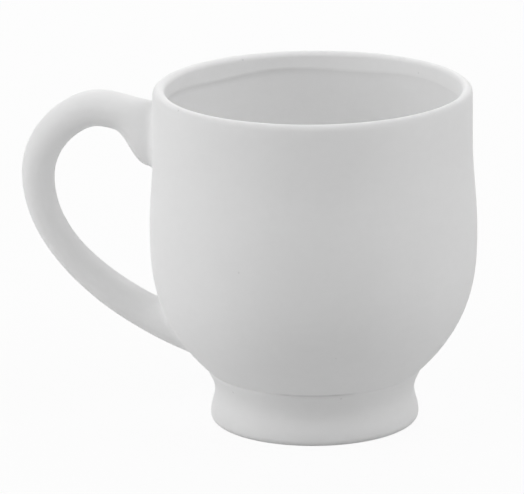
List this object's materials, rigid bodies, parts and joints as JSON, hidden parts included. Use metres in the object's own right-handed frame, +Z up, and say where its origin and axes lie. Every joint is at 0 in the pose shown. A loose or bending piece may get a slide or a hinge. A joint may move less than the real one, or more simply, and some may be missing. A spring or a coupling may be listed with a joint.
{
  "type": "mug",
  "caption": "Footed drinking mug with a full belly, straight neck, rounded lip and ear handle, slip-cast in one piece and fired to plain white bisque.",
  "frame": {"origin": "centre of the foot ring's flat underside, on the axis of the bowl", "axes": "+Z up along the axis of the bowl, -X towards the handle, Y across the handle"},
  "size_m": [0.1345, 0.0958, 0.1],
  "materials": {
    "bisque": "unglazed, fine matt bisque"
  },
  "bodies": {
    "root": {"mug": "bisque"}
  },
  "joints": []
}
